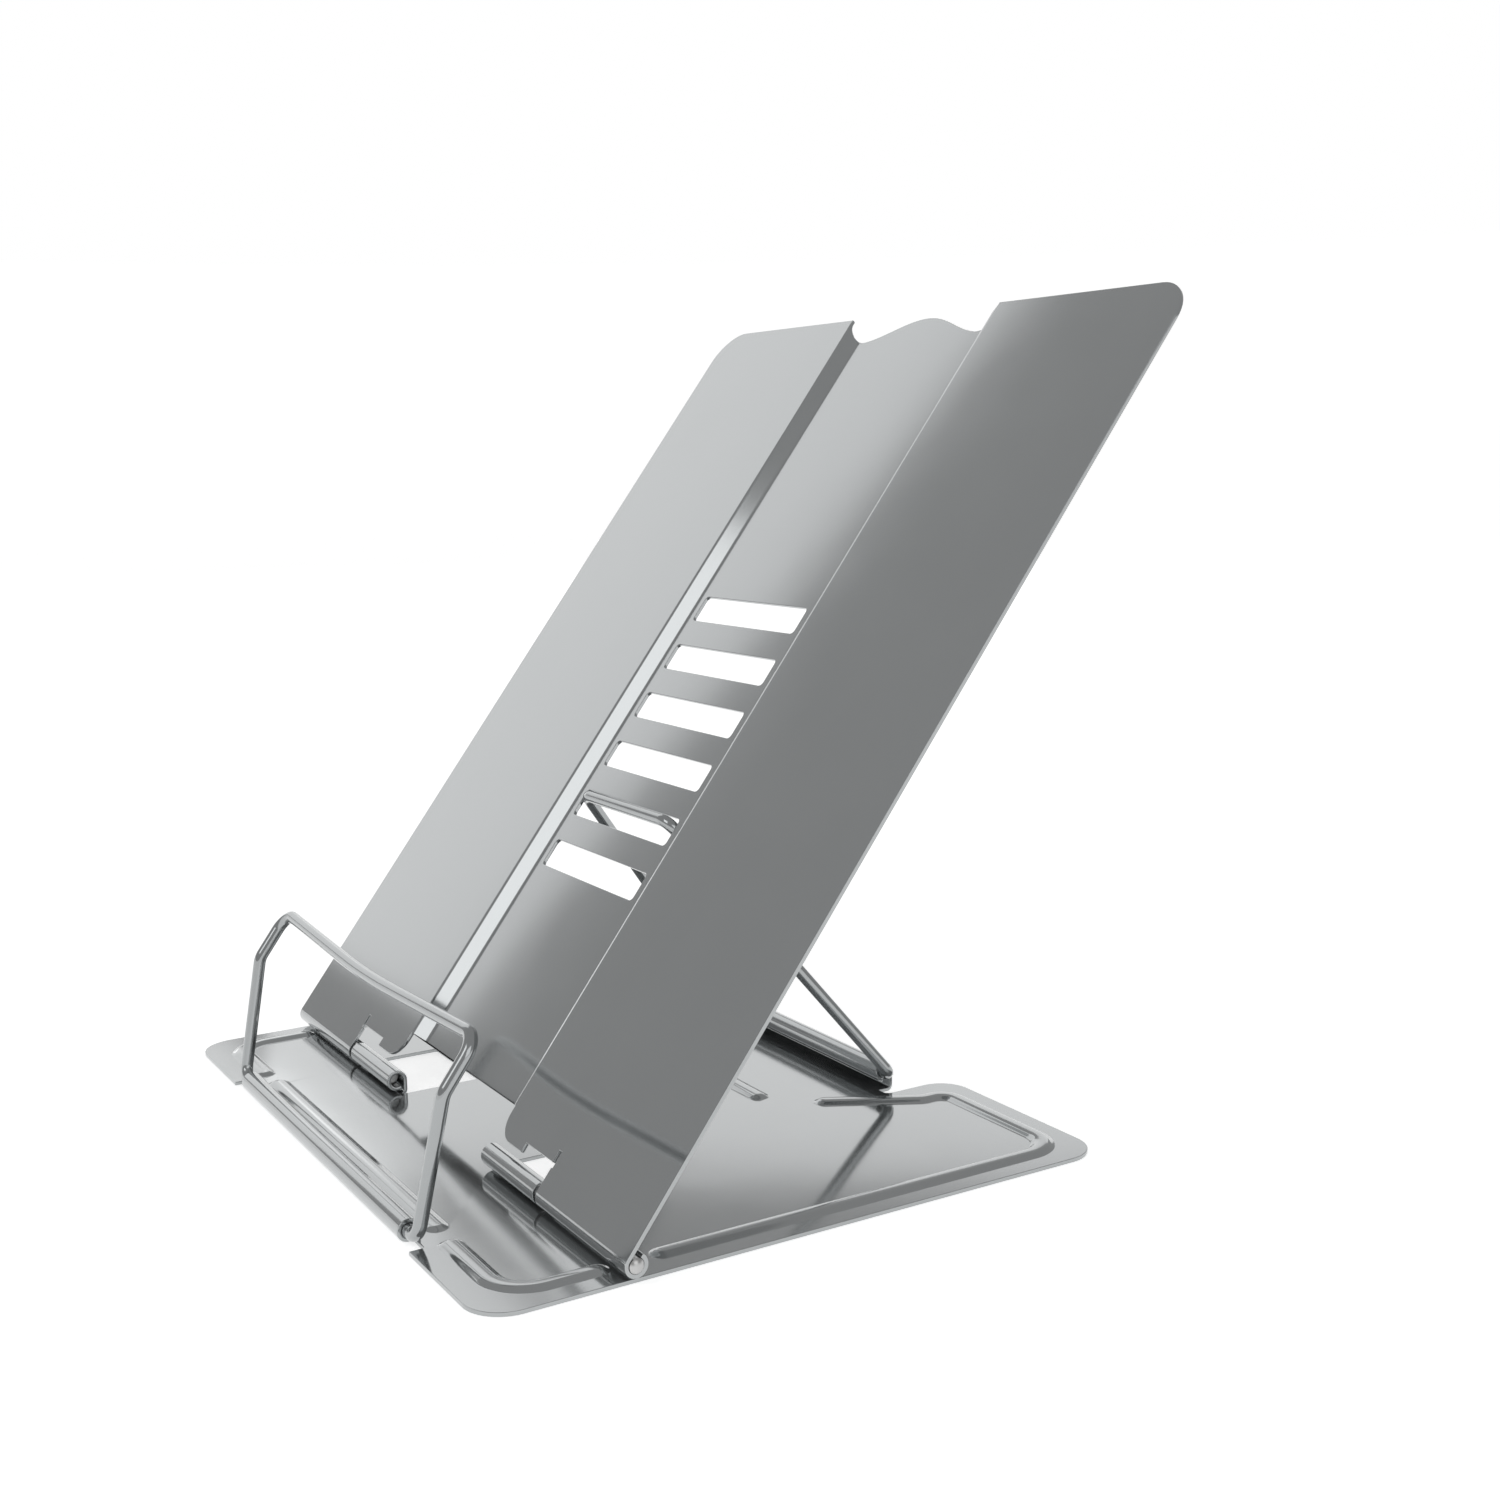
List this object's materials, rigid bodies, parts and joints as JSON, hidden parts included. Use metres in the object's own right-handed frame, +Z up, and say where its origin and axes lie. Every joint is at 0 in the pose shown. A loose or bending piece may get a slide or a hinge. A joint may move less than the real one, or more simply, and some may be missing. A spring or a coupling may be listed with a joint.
{
  "type": "folding book stand",
  "caption": "Folding metal book stand: pressed sheet base, tilting slotted back panel, wire prop and swinging wire page holder.",
  "frame": {"origin": "middle of the base plate's underside, on the table", "axes": "+X to the reader's right, +Y to the rear, +Z up"},
  "size_m": [0.2098, 0.186, 0.2036],
  "materials": {
    "enamel": "gloss grey enamel on pressed steel sheet",
    "enamelled_wire": "gloss grey enamel on round steel wire",
    "bare_steel": "bright drawn steel"
  },
  "bodies": {
    "base": {"base_plate": "enamel", "left_hinge_pin": "bare_steel", "right_hinge_pin": "bare_steel"},
    "panel": {"back_panel": "enamel"},
    "prop": {"prop_wire": "enamelled_wire"},
    "holder": {"page_holder": "enamelled_wire"}
  },
  "joints": [
    {"name": "panel_tilt", "type": "hinge", "parent": "base", "child": "panel", "pos_m": [0, -0.0464, 0.0044], "axis": [1, 0, 0], "range_deg": [0, 37.5]},
    {"name": "prop_swing", "type": "hinge", "parent": "base", "child": "prop", "pos_m": [0, 0.0617, 0.0055], "axis": [1, 0, 0], "range_deg": [0, 18.75]},
    {"name": "holder_swing", "type": "hinge", "parent": "base", "child": "holder", "pos_m": [0, -0.07735, 0.00265], "axis": [1, 0, 0], "range_deg": [-15, 101]}
  ],
  "couplings": [
    {"joint": "prop_swing", "follows": "panel_tilt", "ratio": 0.5}
  ]
}
